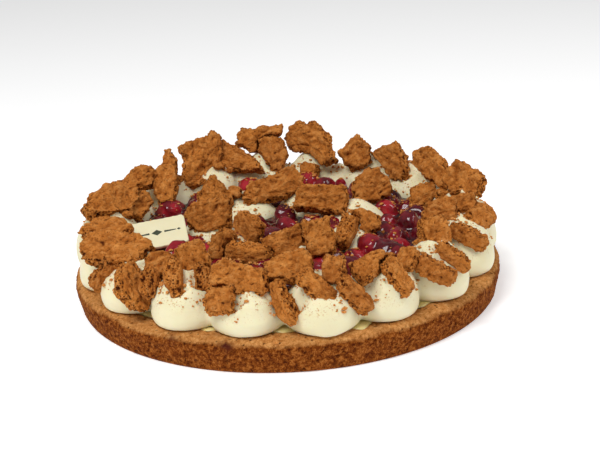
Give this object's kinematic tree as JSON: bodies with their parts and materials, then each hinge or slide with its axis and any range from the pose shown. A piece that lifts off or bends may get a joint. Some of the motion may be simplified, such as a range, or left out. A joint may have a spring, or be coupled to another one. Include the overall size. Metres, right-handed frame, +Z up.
{
  "type": "cherry cream tart",
  "caption": "Round open tart: shortcrust base, custard, cherries in thick juice, piped whipped cream in rings, broken spiced-biscuit pieces and a plain white chocolate plaque.",
  "frame": {"origin": "middle of the base's flat underside", "axes": "+Z up through the middle of the tart; -Y towards the side the picture shows"},
  "size_m": [0.2802, 0.28, 0.0814],
  "materials": {
    "shortcrust": "matte",
    "custard": "satin",
    "whipped_cream": "satin",
    "cherries_in_juice": "glossy",
    "spiced_biscuit": "matte",
    "white_chocolate": "satin"
  },
  "bodies": {
    "root": {"crust": "shortcrust", "custard": "custard", "cream_border": "whipped_cream", "cream_inner": "whipped_cream", "cherries_ring": "cherries_in_juice", "cherries_middle": "cherries_in_juice", "plaque": "white_chocolate", "biscuit_middle_a": "spiced_biscuit", "biscuit_middle_b": "spiced_biscuit", "biscuit_middle_c": "spiced_biscuit", "biscuit_middle_d": "spiced_biscuit", "biscuit_middle_e": "spiced_biscuit", "biscuit_middle_f": "spiced_biscuit", "biscuit_middle_g": "spiced_biscuit", "biscuit_middle_h": "spiced_biscuit", "biscuit_middle_i": "spiced_biscuit", "biscuit_middle_j": "spiced_biscuit", "biscuit_back_a": "spiced_biscuit", "biscuit_back_b": "spiced_biscuit", "biscuit_back_c": "spiced_biscuit", "biscuit_back_d": "spiced_biscuit", "biscuit_back_e": "spiced_biscuit", "biscuit_back_f": "spiced_biscuit", "biscuit_back_g": "spiced_biscuit", "biscuit_back_h": "spiced_biscuit", "biscuit_back_i": "spiced_biscuit", "biscuit_back_j": "spiced_biscuit", "biscuit_back_k": "spiced_biscuit", "biscuit_right_a": "spiced_biscuit", "biscuit_right_b": "spiced_biscuit", "biscuit_right_c": "spiced_biscuit", "biscuit_right_d": "spiced_biscuit", "biscuit_right_e": "spiced_biscuit", "biscuit_right_f": "spiced_biscuit", "biscuit_right_g": "spiced_biscuit", "biscuit_right_h": "spiced_biscuit", "biscuit_right_i": "spiced_biscuit", "biscuit_right_j": "spiced_biscuit", "biscuit_front_a": "spiced_biscuit", "biscuit_front_b": "spiced_biscuit", "biscuit_front_c": "spiced_biscuit", "biscuit_front_d": "spiced_biscuit", "biscuit_front_e": "spiced_biscuit", "biscuit_front_f": "spiced_biscuit", "biscuit_front_g": "spiced_biscuit", "biscuit_front_h": "spiced_biscuit", "biscuit_front_i": "spiced_biscuit", "biscuit_front_j": "spiced_biscuit", "biscuit_front_k": "spiced_biscuit", "biscuit_front_l": "spiced_biscuit", "biscuit_left_a": "spiced_biscuit", "biscuit_left_b": "spiced_biscuit", "biscuit_left_c": "spiced_biscuit", "biscuit_left_d": "spiced_biscuit", "biscuit_left_e": "spiced_biscuit", "biscuit_left_f": "spiced_biscuit", "biscuit_left_g": "spiced_biscuit", "biscuit_left_h": "spiced_biscuit", "biscuit_near_a": "spiced_biscuit", "biscuit_near_b": "spiced_biscuit"}
  },
  "joints": []
}
